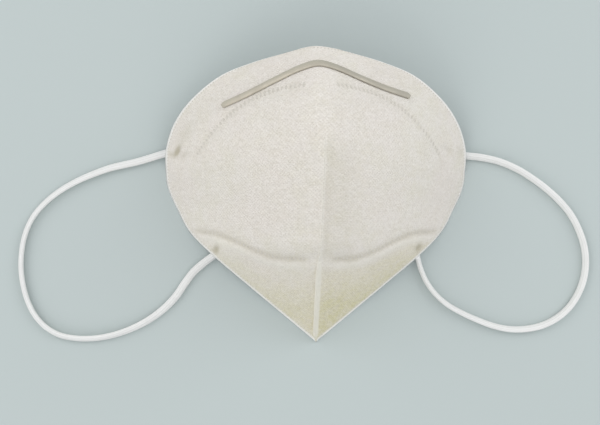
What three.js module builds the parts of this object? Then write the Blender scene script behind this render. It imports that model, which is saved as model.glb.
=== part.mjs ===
// Opened fold-flat respirator, lying on its rim with the outer face up and its ear loops beside it.
// Millimetres: +X is right, +Y runs from chin to nose, +Z is up. The origin is under the middle of
// the cup, level with the surface it lies on.

import * as THREE from "three";
import { mergeVertices } from "three/addons/utils/BufferGeometryUtils.js";

// Driving dimensions.
const gap = 0.3; // clearance between pieces that touch
const wall = 1.6; // bonded cloth of the cup
const bowPower = 2.4; // how late along its width a bowed side turns down
const levelHeight = 6; // rim height above which its cut edge is square to the cloth
const rowsPerSection = 3;
const columnsPerSide = 16;

// The cup's sections from the nose edge to the chin tip. Each runs straight in plan from near the
// centre line (lean sideways, y, z) to the rim (rimX, rimY, rimZ). bow is how far the side swells
// above a straight slope, and bend how softly the section turns over the centre line, as shares.
const sections = [
  { at: "nose edge", lean: -1.5, y: 64.8, z: 36.2, rimX: 12, rimY: 63, rimZ: 33.8, bow: 0, bend: 0.4 },
  { at: "above clip", lean: -1.4, y: 62, z: 38.9, rimX: 27, rimY: 59.3, rimZ: 30.2, bow: 0, bend: 0.25 },
  { at: "nose clip", lean: -1.1, y: 57.8, z: 43.3, rimX: 42.3, rimY: 54, rimZ: 24.3, bow: 0.05, bend: 0.15 },
  { at: "clip end", lean: -0.5, y: 50.5, z: 50, rimX: 55.6, rimY: 44.9, rimZ: 15.9, bow: 0.15, bend: 0.12 },
  { at: "bridge", lean: 0.2, y: 41.5, z: 56, rimX: 64.1, rimY: 34.8, rimZ: 9.4, bow: 0.3, bend: 0.12 },
  { at: "upper loop", lean: 0.7, y: 31.8, z: 60, rimX: 68.2, rimY: 23.5, rimZ: 5.7, bow: 0.4, bend: 0.08 },
  { at: "peak", lean: 0.9, y: 22, z: 62, rimX: 69, rimY: 12.6, rimZ: 0, bow: 0.5, bend: 0.03 },
  { at: "upper cheek", lean: 0.7, y: 10.3, z: 59.3, rimX: 67.8, rimY: 5.2, rimZ: 0, bow: 0.55, bend: 0.01 },
  { at: "lower cheek", lean: 0.4, y: -1.8, z: 55, rimX: 64.1, rimY: -3.2, rimZ: 0, bow: 0.55, bend: 0.01 },
  { at: "jaw", lean: 0.2, y: -11.8, z: 50.5, rimX: 58, rimY: -14.2, rimZ: 1.2, bow: 0.5, bend: 0.01 },
  { at: "lower loop", lean: 0, y: -20.5, z: 46, rimX: 46.8, rimY: -25.1, rimZ: 4.9, bow: 0.35, bend: 0.01 },
  { at: "chin", lean: 0, y: -34.8, z: 31.5, rimX: 31, rimY: -38.8, rimZ: 3, bow: 0.25, bend: 0.01 },
  { at: "under chin", lean: 0, y: -49.8, z: 16, rimX: 15.7, rimY: -51.8, rimZ: 1, bow: 0.15, bend: 0.01 },
  { at: "chin tip", lean: 0, y: -64.8, z: 0.6, rimX: 0, rimY: -64.8, rimZ: 0.6, bow: 0, bend: 0.01 },
];

// The welded fold between cheek and chin: a shallow groove that dips in plan towards the middle.
const chinFold = { middleY: -24.8, sideY: -14.0, fromX: 12, toX: 46, depth: 0.9, width: 3.2 };

// The chin seam is a fin of welded edges along the centre line that leans over to the left.
const chinSeam = { fromSection: 10.2, fullSection: 10.9, thick: 1.0, height: 2.5, leanDegrees: 58 };

// The clip follows a bent line through these places in plan, from its left end to its right one.
const noseClip = {
  width: 3.2,
  thick: 0.8,
  line: [
    [-41.2, 40.1], [-31, 43.9], [-19, 49.3], [-8, 54.1], [-1, 55.9], [6, 54.4], [17, 50.2], [28, 46.7],
    [38.7, 44.4],
  ],
};

const cord = { thick: 2.8, sides: 8, steps: 48 };

// Each loop's route, from inside the upper corner of the rim to inside the lower one. It lies on the
// surface except where a third number gives the height of its middle.
const leftRoute = [
  [-65.6, 22.6, 2.2], [-69.5, 21.6, 1.6], [-81, 18.1], [-94, 15], [-101, 12.5], [-109, 9], [-116.3, 4.8],
  [-123, -0.5], [-128.8, -7.3], [-132.3, -15], [-133.9, -23], [-134.2, -30.5], [-133.4, -37.5],
  [-131.4, -45], [-128, -51.9], [-123, -57.4], [-116.7, -61], [-109.2, -62.5], [-102, -62.6],
  [-95.3, -61.7], [-88.4, -59.8], [-81.3, -56.9], [-74.5, -53], [-68.6, -48.3], [-63.8, -43.1],
  [-60, -37.5], [-56, -32.3], [-51.3, -28.2], [-47.6, -25.4, 1.6], [-44.7, -23.2, 2.2],
];
const rightRoute = [
  [65.6, 21.3, 1.9], [69.4, 20.8, 1.4], [76, 20.1], [84.4, 18.2], [92, 15.1], [98.8, 11.1], [105.4, 6.3],
  [111.8, 0.6], [117.4, -6], [121.4, -13.5], [123.8, -21], [124.5, -28.7], [123.4, -36.4],
  [120.6, -43.4], [116.4, -49.4], [110.7, -54.2], [103.7, -57.5], [95.8, -59], [88.5, -58.9],
  [81.2, -57.3], [74, -54.6], [66.6, -51.2], [59.8, -47.2], [54.3, -42.1], [50.3, -36.3],
  [47.9, -30.6], [46.7, -26.2, 1.6], [45.5, -22.8, 2.2],
];

// The flattened ends of the loops, fused to the cup's inner face. Each runs from a place in plan
// just inside the rim towards another.
const loopWeld = { length: 9, width: 4.6, thick: 0.8, clearance: 0.45 };
const loopWelds = [
  { name: "loop_weld_upper_left", from: [-66.4, 22.7], towards: [-58, 25.2] },
  { name: "loop_weld_upper_right", from: [66.4, 21.4], towards: [58, 22.6] },
  { name: "loop_weld_lower_left", from: [-45.2, -23.6], towards: [-39, -19.2] },
  { name: "loop_weld_lower_right", from: [45.6, -23.4], towards: [43.6, -17.5] },
];

const last = sections.length - 1;
const centreLine = new THREE.CatmullRomCurve3(
  sections.map((row) => new THREE.Vector3(row.lean, row.y, row.z)), false, "catmullrom");
const rimLine = new THREE.CatmullRomCurve3(
  sections.map((row) => new THREE.Vector3(row.rimX, row.rimY, row.rimZ)), false, "catmullrom");
const fullness = new THREE.CatmullRomCurve3(
  sections.map((row) => new THREE.Vector3(row.bow, row.bend, 0)), false, "catmullrom");

// How deep the chin fold dents the cloth at a place in plan.
function foldDent(x, y) {
  const { middleY, sideY, fromX, toX, depth, width } = chinFold;
  const rise = THREE.MathUtils.smoothstep(Math.abs(x), fromX, toX);
  const away = (y - THREE.MathUtils.lerp(middleY, sideY, rise)) / width;
  return depth * Math.exp(-away * away);
}

// The share of a section's fall and drift that is done at a share of its width.
function turnedShare(share, bend) {
  return (Math.hypot(share, bend) - bend) / (Math.hypot(1, bend) - bend);
}

// A point of the outer face: section 0 is the nose edge, and across goes from -1 to 1 over the rims.
function outerPoint(section, across) {
  const middle = centreLine.getPoint(section / last);
  const edge = rimLine.getPoint(section / last);
  const { x: bow, y: bend } = fullness.getPoint(section / last);
  const share = Math.abs(across);
  const turned = turnedShare(share, bend);
  const left = 1 - (1 - bow) * turned - bow * turned ** bowPower;
  const low = Math.max(edge.z, 0);
  const x = THREE.MathUtils.lerp(middle.x, Math.sign(across) * edge.x, share);
  const y = THREE.MathUtils.lerp(middle.y, edge.y, turned);
  return new THREE.Vector3(x, y, low + (middle.z - low) * left - foldDent(x, y) * (1 - share));
}

// The outer face's normal. Beside the nose edge, where the sections run almost along the rim, it is
// read a little way inside the sheet.
function outwardNormal(section, across) {
  const step = 0.004;
  const from = THREE.MathUtils.clamp(section, 0.4, last - step);
  const place = across * Math.min(0.85 + 0.15 * section, 1);
  const along = outerPoint(from + step, place).sub(outerPoint(from, place));
  const left = Math.max(place - step, -1);
  const right = Math.min(place + step, 1);
  const sideways = outerPoint(from, right).sub(outerPoint(from, left));
  return along.cross(sideways).normalize();
}

// The inner face lies one wall below the outer face. Its sides start a little further out, where
// one wall's depth reaches the plane under the crease, so that they meet there. The rim's cut edge
// and the chin tip are level where the cup rests on them.
function innerPoint(section, across) {
  const side = Math.sign(across);
  const atTip = section === last;
  const middle = centreLine.getPoint(section / last);
  const reach = Math.abs(outwardNormal(section, 0.02).x * wall) / rimLine.getPoint(section / last).x;
  const from = atTip ? 0 : (side || 1) * THREE.MathUtils.lerp(reach, 1, Math.abs(across));
  const outer = outerPoint(section, from);
  const normal = outwardNormal(section, from);
  const square = outer.clone().addScaledVector(normal, -wall);
  if (side === 0) square.x = middle.x;
  if (Math.abs(across) < 1 && !atTip) return square;
  const run = Math.hypot(normal.x, normal.y);
  const level = new THREE.Vector3(normal.x, normal.y, 0).multiplyScalar(-wall / (run * run)).add(outer);
  return level.lerp(square, THREE.MathUtils.smoothstep(outer.z, 0, levelHeight));
}

// The fin of the chin seam at a section: it swells out of the crease and runs out at the tip.
function finAt(section) {
  const { fromSection, fullSection, thick, height } = chinSeam;
  const swell = THREE.MathUtils.smoothstep(section, fromSection, fullSection);
  const share = swell * Math.min((last - section) * rowsPerSection, 1);
  return { half: (share * thick) / 2, reach: share * height };
}

function finCorner(section, side) {
  const { half, reach } = finAt(section);
  const lean = THREE.MathUtils.degToRad(chinSeam.leanDegrees);
  const corner = outerPoint(section, 0).addScaledVector(outwardNormal(section, 0), Math.cos(lean) * reach);
  corner.x += side * half - Math.sin(lean) * reach;
  return corner;
}

// A point of the outer face with room left for the fin's foot along the crease.
function outerBesideFin(section, side, share) {
  const foot = finAt(section).half / Math.max(rimLine.getPoint(section / last).x, 1);
  return outerPoint(section, side * THREE.MathUtils.lerp(foot, 1, share));
}

// Turns a list of triangles, each three Vector3, into a closed geometry. Rows that narrow to one
// point leave triangles without area, which are dropped.
function geometryOf(triangles) {
  const solid = triangles.filter(([a, b, c]) =>
    Math.min(a.distanceTo(b), b.distanceTo(c), c.distanceTo(a)) > 1e-3);
  const geometry = new THREE.BufferGeometry().setFromPoints(solid.flat());
  return mergeVertices(geometry, 1e-4);
}

// Two triangles that fill the four-sided face a, b, c, d, seen anticlockwise from outside.
function quad(a, b, c, d) {
  return [[a, b, c], [a, c, d]];
}

// A closed skin over rings of points that all have the same count, with flat ends.
function skinOver(rings) {
  const triangles = [];
  const count = rings[0].length;
  for (let i = 0; i + 1 < rings.length; i++) {
    for (let j = 0; j < count; j++) {
      const k = (j + 1) % count;
      triangles.push(...quad(rings[i][j], rings[i + 1][j], rings[i + 1][k], rings[i][k]));
    }
  }
  const end = rings.at(-1);
  for (let j = 1; j + 1 < count; j++) {
    triangles.push([rings[0][0], rings[0][j], rings[0][j + 1]]);
    triangles.push([end[0], end[j + 1], end[j]]);
  }
  return geometryOf(triangles);
}

// One closed sheet: rows of points from the left rim to the right one on the outer face, where the
// fin takes the middle two, and the same number on the inner face.
function cupGeometry() {
  const shares = Array.from({ length: columnsPerSide + 1 }, (_, j) => j / columnsPerSide);
  const outer = [];
  const inner = [];
  for (let i = 0; i <= rowsPerSection * last; i++) {
    const section = i / rowsPerSection;
    const leftOuter = shares.map((share) => outerBesideFin(section, -1, share)).reverse();
    const rightOuter = shares.map((share) => outerBesideFin(section, 1, share));
    outer.push([...leftOuter, finCorner(section, -1), finCorner(section, 1), ...rightOuter]);
    const leftInner = shares.map((share) => innerPoint(section, -share)).reverse();
    const rightInner = shares.map((share) => innerPoint(section, share));
    inner.push([...leftInner, rightInner[0], rightInner[0], ...rightInner]);
  }
  const triangles = [];
  const lastRow = outer.length - 1;
  const lastColumn = outer[0].length - 1;
  for (let i = 0; i < lastRow; i++) {
    for (let j = 0; j < lastColumn; j++) {
      triangles.push(...quad(outer[i][j], outer[i + 1][j], outer[i + 1][j + 1], outer[i][j + 1]));
      triangles.push(...quad(inner[i][j], inner[i][j + 1], inner[i + 1][j + 1], inner[i + 1][j]));
    }
    triangles.push(...quad(outer[i][0], inner[i][0], inner[i + 1][0], outer[i + 1][0]));
    triangles.push(...quad(
      outer[i][lastColumn], outer[i + 1][lastColumn], inner[i + 1][lastColumn], inner[i][lastColumn]));
  }
  for (let j = 0; j < lastColumn; j++) {
    triangles.push(...quad(outer[0][j], outer[0][j + 1], inner[0][j + 1], inner[0][j]));
    triangles.push(...quad(
      outer[lastRow][j], inner[lastRow][j], inner[lastRow][j + 1], outer[lastRow][j + 1]));
  }
  return geometryOf(triangles);
}

// How far out a place in plan lies along a section, where 1 is the rim, and the side it lies on.
function shareAt(section, x) {
  const middle = centreLine.getPoint(section / last);
  const edge = rimLine.getPoint(section / last);
  const side = x < middle.x ? -1 : 1;
  const share = (x - middle.x) / (side * edge.x - middle.x);
  const turned = turnedShare(share, fullness.getPoint(section / last).y);
  return { side, share, y: THREE.MathUtils.lerp(middle.y, edge.y, turned) };
}

// The outer face's point and normal over a place in plan. Its section is found by halving.
function surfaceAt(x, y) {
  let low = 0;
  let high = last;
  while (high - low > 1e-9) {
    const between = (low + high) / 2;
    if (shareAt(between, x).y > y) low = between;
    else high = between;
  }
  const { side, share } = shareAt(low, x);
  return { point: outerPoint(low, side * share), normal: outwardNormal(low, side * share) };
}

// A flat strip on the cup's face. stations are places in plan with the half width there, and the
// strip fills the heights from bottom to top over the outer face.
function stripGeometry(stations, bottom, top) {
  const spots = stations.map(({ x, y, half }) => ({ ...surfaceAt(x, y), half }));
  const rings = spots.map(({ point, normal, half }, i) => {
    const before = spots[Math.max(i - 1, 0)].point;
    const after = spots[Math.min(i + 1, spots.length - 1)].point;
    const side = normal.clone().cross(after.clone().sub(before)).normalize();
    const corner = (out, height) =>
      point.clone().addScaledVector(side, out * half).addScaledVector(normal, height);
    return [corner(-1, top), corner(1, top), corner(1, bottom), corner(-1, bottom)];
  });
  return skinOver(rings);
}

// The half width of a strip with round ends, a distance in from its nearest end.
function roundedHalf(width, inset) {
  const half = width / 2;
  const short = Math.max(half - inset, 0);
  return Math.max(Math.sqrt(half * half - short * short), 0.3 * half);
}

function clipGeometry() {
  const { width, thick, line } = noseClip;
  const path = new THREE.SplineCurve(line.map(([x, y]) => new THREE.Vector2(x, y)));
  const length = path.getLength();
  const steps = 48;
  const insets = [0, 0.25, 0.6, 1].map((share) => share * width / 2);
  const distances = [...insets, ...insets.map((inset) => length - inset).reverse()];
  for (let i = 2; i < steps - 1; i++) distances.push((length * i) / steps);
  distances.sort((a, b) => a - b);
  const stations = distances.map((distance) => {
    const { x, y } = path.getPointAt(distance / length);
    return { x, y, half: roundedHalf(width, Math.min(distance, length - distance)) };
  });
  return stripGeometry(stations, gap, gap + thick);
}

function loopWeldGeometry({ from, towards }) {
  const { length, width, thick, clearance } = loopWeld;
  const start = new THREE.Vector2(...from);
  const heading = new THREE.Vector2(...towards).sub(start).normalize();
  const here = surfaceAt(start.x, start.y).point;
  const ahead = start.clone().addScaledVector(heading, length / 2);
  const planShare = length / 2 / surfaceAt(ahead.x, ahead.y).point.distanceTo(here);
  const steps = 8;
  const stations = Array.from({ length: steps + 1 }, (_, i) => {
    const travelled = (length * i) / steps;
    const { x, y } = start.clone().addScaledVector(heading, travelled * planShare);
    return { x, y, half: roundedHalf(width, Math.min(travelled, length - travelled)) };
  });
  return stripGeometry(stations, -wall - clearance - thick, -wall - clearance);
}

function loopGeometry(route) {
  const points = route.map(([x, y, z = cord.thick / 2]) => new THREE.Vector3(x, y, z));
  const section = new THREE.Shape();
  for (let i = 0; i < cord.sides; i++) {
    const angle = (2 * Math.PI * (i + 0.5)) / cord.sides;
    const x = (cord.thick / 2) * Math.cos(angle);
    const y = (cord.thick / 2) * Math.sin(angle);
    if (i === 0) section.moveTo(x, y);
    else section.lineTo(x, y);
  }
  section.closePath();
  return new THREE.ExtrudeGeometry(section, {
    extrudePath: new THREE.CatmullRomCurve3(points),
    steps: cord.steps,
    bevelEnabled: false,
  });
}

const cloth = new THREE.MeshStandardMaterial({ color: "#e4e0d8", roughness: 0.9, metalness: 0 });
const aluminium = new THREE.MeshStandardMaterial({ color: "#b4afa0", roughness: 0.5, metalness: 0.9 });
const elastic = new THREE.MeshStandardMaterial({ color: "#eeeeea", roughness: 0.85, metalness: 0 });

function piece(name, geometry, material) {
  const mesh = new THREE.Mesh(geometry, material);
  mesh.name = name;
  return mesh;
}

const respirator = new THREE.Group();
respirator.add(piece("facepiece", cupGeometry(), cloth));
respirator.add(piece("nose_clip", clipGeometry(), aluminium));
respirator.add(piece("ear_loop_left", loopGeometry(leftRoute), elastic));
respirator.add(piece("ear_loop_right", loopGeometry(rightRoute), elastic));
for (const weld of loopWelds) {
  respirator.add(piece(weld.name, loopWeldGeometry(weld), elastic));
}

export default respirator;
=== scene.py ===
import math
import bpy
import bmesh
import numpy as np
from mathutils import Matrix, Vector, noise


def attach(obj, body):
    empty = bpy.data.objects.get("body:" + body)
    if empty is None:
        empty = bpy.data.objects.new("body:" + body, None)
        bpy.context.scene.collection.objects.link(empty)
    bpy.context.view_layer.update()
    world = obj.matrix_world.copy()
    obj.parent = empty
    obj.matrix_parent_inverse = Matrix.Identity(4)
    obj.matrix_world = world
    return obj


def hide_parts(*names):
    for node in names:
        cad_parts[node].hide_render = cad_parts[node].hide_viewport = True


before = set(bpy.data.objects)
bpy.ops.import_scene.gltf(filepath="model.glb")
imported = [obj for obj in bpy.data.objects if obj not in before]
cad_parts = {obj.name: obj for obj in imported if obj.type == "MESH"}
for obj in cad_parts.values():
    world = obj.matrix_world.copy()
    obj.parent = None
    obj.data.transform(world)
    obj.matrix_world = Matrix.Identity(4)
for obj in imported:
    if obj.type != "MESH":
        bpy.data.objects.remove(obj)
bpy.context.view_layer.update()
scene = bpy.context.scene


def addObject(name, data):
    item = bpy.data.objects.new(name, data)
    scene.collection.objects.link(item)
    return item


# camera straight above the table, a touch to the left

cameraSetup = {
    "place": (-0.018, -0.00525, 0.42),
    "aim": (-0.00736, -0.00525, 0.0),
    "lens": 54.8,
    "sensor": 36,
    "clipStart": 0.01,
}


def addCamera(setup):
    data = bpy.data.cameras.new("overheadCamera")
    data.lens = setup["lens"]
    data.sensor_width = setup["sensor"]
    data.clip_start = setup["clipStart"]
    camera = addObject("overheadCamera", data)
    back = (Vector(setup["place"]) - Vector(setup["aim"])).normalized()
    right = Vector((0, 1, 0)).cross(back).normalized()
    up = back.cross(right)
    turn = Matrix((right, up, back)).transposed().to_4x4()
    camera.matrix_world = Matrix.Translation(setup["place"]) @ turn
    scene.camera = camera


addCamera(cameraSetup)
print("camera ready")


# small helpers

stripUnit = 0.01  # metres in one unit of a cord's or strip's own coordinates
clothUnit = 0.1  # and of the cloth's


def newMesh(name, points, faces, edges=()):
    mesh = bpy.data.meshes.new(name)
    mesh.from_pydata([tuple(p) for p in points], edges, [tuple(f) for f in faces])
    return mesh


def setUv(mesh, name, u, v):
    # one pair for each vertex, handed to the corners on it
    corners = np.empty(len(mesh.loops), int)
    mesh.loops.foreach_get("vertex_index", corners)
    pairs = np.stack([np.ravel(u), np.ravel(v)], 1)[corners]
    mesh.uv_layers.new(name=name).data.foreach_set("uv", pairs.ravel())


def smoothStep(value, low, high):
    t = np.clip((value - low) / (high - low), 0, 1)
    return t * t * (3 - 2 * t)


def bell(value, middle, width):
    return np.exp(-(((value - middle) / width) ** 2))


def fromLeast(least, share):
    # a share of 0 gives the least, a share of 1 gives 1
    return least + (1 - least) * share


def gridFaces(rows, columns, first=0, closed=False):
    # four-sided faces between neighbouring rows, wound along one row and back along the next
    steps = columns if closed else columns - 1
    i, j = np.meshgrid(np.arange(rows - 1), np.arange(steps), indexing="ij")
    here, beside = i * columns + j, i * columns + (j + 1) % columns
    quads = np.stack([here, beside, beside + columns, here + columns], -1)
    return quads.reshape(-1, 4) + first


def lengthsAlong(points, axis):
    steps = np.linalg.norm(np.diff(points, axis=axis), axis=-1)
    start = np.zeros_like(np.take(steps, [0], axis))
    return np.concatenate([start, np.cumsum(steps, axis)], axis)


def curveThrough(points, count, perSpan=40):
    # centripetal spline through the points, read off at equal lengths along it
    points = np.asarray(points, float)
    ends = np.vstack([2 * points[0] - points[1], points, 2 * points[-1] - points[-2]])
    steps = np.linalg.norm(np.diff(ends[:, :3], axis=0), axis=1) ** 0.5
    t = np.linspace(0, 1, perSpan, endpoint=False)[:, None]
    fine = []
    for n in range(len(points) - 1):
        p0, p1, p2, p3 = ends[n:n + 4]
        d0, d1, d2 = steps[n:n + 3]
        m1 = ((p1 - p0) / d0 - (p2 - p0) / (d0 + d1) + (p2 - p1) / d1) * d1
        m2 = ((p2 - p1) / d1 - (p3 - p1) / (d1 + d2) + (p3 - p2) / d2) * d1
        fine.append((2 * t**3 - 3 * t**2 + 1) * p1 + (t**3 - 2 * t**2 + t) * m1
                    + (3 * t**2 - 2 * t**3) * p2 + (t**3 - t**2) * m2)
    fine = np.vstack([*fine, points[-1:]])
    run = lengthsAlong(fine[:, :3], 0)
    places = np.linspace(0, run[-1], count)
    return np.stack([np.interp(places, run, fine[:, c]) for c in range(points.shape[1])], 1), run[-1]


def headingsOf(line):
    # unit direction along a line of points, and the level direction to its left
    ahead = np.gradient(line, axis=0)
    ahead /= np.linalg.norm(ahead, axis=1)[:, None]
    left = np.cross([0, 0, 1], ahead)
    left /= np.linalg.norm(left, axis=1)[:, None]
    return ahead, left


# ear loops: knitted elastic, a soft oval cord that twists as it lies

loopStyle = {
    "width": 0.0035,
    "thick": 0.0023,
    "clearance": 0.0001,
    "around": 54,
    "step": 0.00025,
    # the knit: columns of stitches with slanting legs and a valley between neighbours
    "wales": 9,
    "stitch": 0.0009,
    "slant": 1.1,
    "fullness": 0.7,
    "valley": 0.15,
    "relief": 0.00009,
    "level": 0.6,
    # the ends, pressed flat for the weld
    "flatEnd": 0.006,
    "endWider": 0.25,
    "endThinner": 0.55,
    "endSmoother": 0.7,
    "endCap": 0.0003,
}

# x, y, twist in degrees, and the height of the middle where it doesn't lie on the table
leftLoopRoute = [
    (-0.0646, 0.0231, 0, 0.0052), (-0.0655, 0.0226, 5, 0.0024), (-0.0695, 0.0216, 15),
    (-0.0810, 0.0181, 25), (-0.0940, 0.0150, 35), (-0.1010, 0.0125, 42), (-0.1090, 0.0090, 50),
    (-0.1163, 0.0048, 55), (-0.1230, -0.0005, 60), (-0.1288, -0.0073, 65), (-0.1323, -0.0150, 68),
    (-0.1339, -0.0230, 70), (-0.1342, -0.0305, 70), (-0.1334, -0.0375, 68),
    (-0.1314, -0.0450, 66), (-0.1280, -0.0519, 64), (-0.1230, -0.0574, 62),
    (-0.1167, -0.0610, 60), (-0.1092, -0.0625, 58), (-0.1020, -0.0626, 56),
    (-0.0953, -0.0617, 54), (-0.0884, -0.0598, 50), (-0.0813, -0.0569, 42),
    (-0.0745, -0.0530, 32), (-0.0686, -0.0483, 20), (-0.0638, -0.0431, 8), (-0.0600, -0.0375, 0),
    (-0.0560, -0.0323, 4), (-0.0513, -0.0282, 14), (-0.0476, -0.0254, 20, 0.0018),
    (-0.0450, -0.0234, 10, 0.0034), (-0.0434, -0.0223, 0, 0.0058),
]
rightLoopRoute = [
    (0.0646, 0.0217, 0, 0.0050), (0.0655, 0.0213, 10, 0.0022), (0.0694, 0.0208, 25),
    (0.0760, 0.0201, 32), (0.0844, 0.0182, 42), (0.0920, 0.0151, 48), (0.0988, 0.0111, 50),
    (0.1054, 0.0063, 50), (0.1118, 0.0006, 52), (0.1174, -0.0060, 54), (0.1214, -0.0135, 56),
    (0.1238, -0.0210, 56), (0.1245, -0.0287, 56), (0.1234, -0.0364, 54), (0.1206, -0.0434, 52),
    (0.1164, -0.0494, 52), (0.1107, -0.0542, 52), (0.1037, -0.0575, 52), (0.0958, -0.0590, 54),
    (0.0885, -0.0589, 56), (0.0812, -0.0573, 60), (0.0740, -0.0546, 64), (0.0666, -0.0512, 70),
    (0.0598, -0.0472, 76), (0.0543, -0.0421, 82), (0.0503, -0.0363, 86), (0.0479, -0.0306, 84),
    (0.0467, -0.0262, 60, 0.0019), (0.0455, -0.0232, 25, 0.0036), (0.0448, -0.0212, 0, 0.0058),
]


def loopMesh(name, route, style):
    rows = []
    for x, y, twist, *height in route:
        turn = math.radians(twist)
        lying = math.hypot(style["width"] * math.sin(turn), style["thick"] * math.cos(turn)) / 2
        lying += style["relief"] + style["clearance"]
        rows.append((x, y, height[0] if height else lying, turn))
    length = curveThrough(rows, 2)[1]
    line = curveThrough(rows, int(length / style["step"]))[0]
    middle, twist = line[:, :3], line[:, 3]
    ahead, left = headingsOf(middle)
    up = np.cross(ahead, left)
    run = np.linspace(0, length, len(middle))
    wide = left * np.cos(twist)[:, None] + up * np.sin(twist)[:, None]
    tall = up * np.cos(twist)[:, None] - left * np.sin(twist)[:, None]
    press = 1 - smoothStep(np.minimum(run, length - run), 0, style["flatEnd"])[:, None]
    halfWide = style["width"] / 2 * (1 + style["endWider"] * press)
    halfTall = style["thick"] / 2 * (1 - style["endThinner"] * press)
    turns = np.linspace(0, 1, style["around"], endpoint=False)
    leg = np.abs(turns * style["wales"] % 1 - 0.5)
    stitch = np.abs(np.sin(np.pi * (run[:, None] / style["stitch"] + style["slant"] * leg)))
    stitch = stitch ** style["fullness"]
    valley = np.cos(np.pi * np.clip(leg * 2 - style["valley"], 0, 1) / 2)
    raised = style["relief"] * (stitch * valley - style["level"]) * (1 - style["endSmoother"] * press)
    cosine, sine = np.cos(2 * np.pi * turns), np.sin(2 * np.pi * turns)
    ring = (middle[:, None, :]
            + wide[:, None, :] * ((halfWide + raised) * cosine)[..., None]
            + tall[:, None, :] * ((halfTall + raised) * sine)[..., None])
    rings, count = ring.shape[:2]
    caps = [middle[0] - ahead[0] * style["endCap"], middle[-1] + ahead[-1] * style["endCap"]]
    head, tail, lastRing = rings * count, rings * count + 1, (rings - 1) * count
    faces = [*gridFaces(rings, count, closed=True)]
    faces += [(head, (j + 1) % count, j) for j in range(count)]
    faces += [(tail, lastRing + j, lastRing + (j + 1) % count) for j in range(count)]
    mesh = newMesh(name, [*ring.reshape(-1, 3), *caps], faces)
    setUv(mesh, "along", np.append(np.repeat(run, count), [0, length]) / stripUnit,
          np.append(np.tile(turns, rings), [0.5, 0.5]))
    mesh.shade_smooth()
    return mesh, middle, length


def addLoop(name, route, node):
    mesh, middle, length = loopMesh(name, route, loopStyle)
    loop = addObject(name, mesh)
    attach(loop, "root")
    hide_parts(node)
    print(f"{name}: {length * 1000:.1f} mm")
    return loop


leftLoop = addLoop("earLoopLeft", leftLoopRoute, "ear_loop_left")
rightLoop = addLoop("earLoopRight", rightLoopRoute, "ear_loop_right")


# the cup: bonded cloth layers, folded flat and opened

cup = {
    "wall": 0.0016,
    "edgeWall": 0.0009,  # in the pressed edge
    "edgeFrom": 0.001,
    "bowPower": 2.4,
    "levelHeight": 0.006,  # the cut edge is level on the table and square to the wall above this
    "floorGap": 0.00002,
    "rowsPerSection": 14,
    "columnsPerSide": 92,
    "crowding": (1.3, 0.03),  # columns stand closer by the centre line
    "calmRim": (0.001, 0.008),
    "finToRim": 0.05,  # counts as far from the rim
    "ripple": (0.00022, 0.024, 3.1),  # height, pitch, seed
    "crumple": (0.00006, 0.007, 7.7),
}

# nose edge to chin tip: lean, y, z of the centre line; x, y, z of the rim; bow; bend
cupSections = np.array([
    (-0.0015, 0.0648, 0.0362, 0.0120, 0.0630, 0.0338, 0.00, 0.40),
    (-0.0014, 0.0620, 0.0389, 0.0270, 0.0593, 0.0302, 0.00, 0.25),
    (-0.0011, 0.0578, 0.0433, 0.0423, 0.0540, 0.0243, 0.05, 0.15),
    (-0.0005, 0.0505, 0.0500, 0.0556, 0.0449, 0.0159, 0.15, 0.12),
    (0.0002, 0.0415, 0.0560, 0.0641, 0.0348, 0.0094, 0.30, 0.12),
    (0.0007, 0.0318, 0.0600, 0.0682, 0.0235, 0.0057, 0.40, 0.08),
    (0.0009, 0.0220, 0.0620, 0.0690, 0.0126, 0.0000, 0.50, 0.03),
    (0.0007, 0.0103, 0.0593, 0.0678, 0.0052, 0.0000, 0.55, 0.01),
    (0.0004, -0.0018, 0.0550, 0.0641, -0.0032, 0.0000, 0.55, 0.01),
    (0.0002, -0.0118, 0.0505, 0.0580, -0.0142, 0.0012, 0.50, 0.01),
    (0.0000, -0.0205, 0.0460, 0.0468, -0.0251, 0.0049, 0.35, 0.01),
    (0.0000, -0.0348, 0.0315, 0.0310, -0.0388, 0.0030, 0.25, 0.01),
    (0.0000, -0.0498, 0.0160, 0.0157, -0.0518, 0.0010, 0.15, 0.01),
    (0.0000, -0.0648, 0.0006, 0.0000, -0.0648, 0.0006, 0.00, 0.01),
])
lastSection = len(cupSections) - 1

# welded fold between cheek and chin
chinFold = {
    "middleY": -0.0248, "sideY": -0.0140, "leftX": (0.014, 0.050), "rightX": (0.012, 0.046),
    "depth": 0.0009, "width": 0.0032, "groove": 0.00030, "grooveWidth": 0.0013,
    "lip": 0.00045, "lipBelow": 0.0024, "lipWidth": 0.0017, "lipInMiddle": 0.5,
    "calmMiddle": (0.004, 0.009),
}

# weld line that arches under the nose clip
noseWeld = {
    "topY": 0.0465, "drop": 0.027, "span": 0.053, "power": 2.8,
    "depth": 0.00022, "width": 0.0020, "start": (0.004, 0.012), "end": (0.052, 0.058),
}

# sharp fold line down the middle, with a shallow hollow and a strip to its right that get painted shade,
# and a painted highlight along the line
foldRidge = {
    # worn: the crest line's share of the painted highlight, which the fin gets in full
    "fromSection": 5.4, "fullSection": 6.4, "height": 0.00024, "width": 0.0005, "worn": 0.4,
    "hollow": 0.00026, "hollowAt": 0.0028, "hollowWidth": 0.0018, "hollowShadeTone": 0.10,
    "shadeTone": 0.16, "shadeStart": (0, 0.0015), "shadeEnd": (0.008, 0.022),
}

# fin of welded edges along the chin, leaning to the left
chinSeam = {
    "fromSection": 9.6, "fullSection": 10.9, "tipSlope": 3,
    "thick": 0.0010, "height": 0.0019, "lean": 57,
    "outline": [(-1, 0.35), (-0.92, 0.7), (-0.75, 0.92), (-0.3, 1.0),  # half thickness, height
                (0.3, 1.0), (0.75, 0.92), (0.92, 0.7), (1, 0.35)],
}

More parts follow.
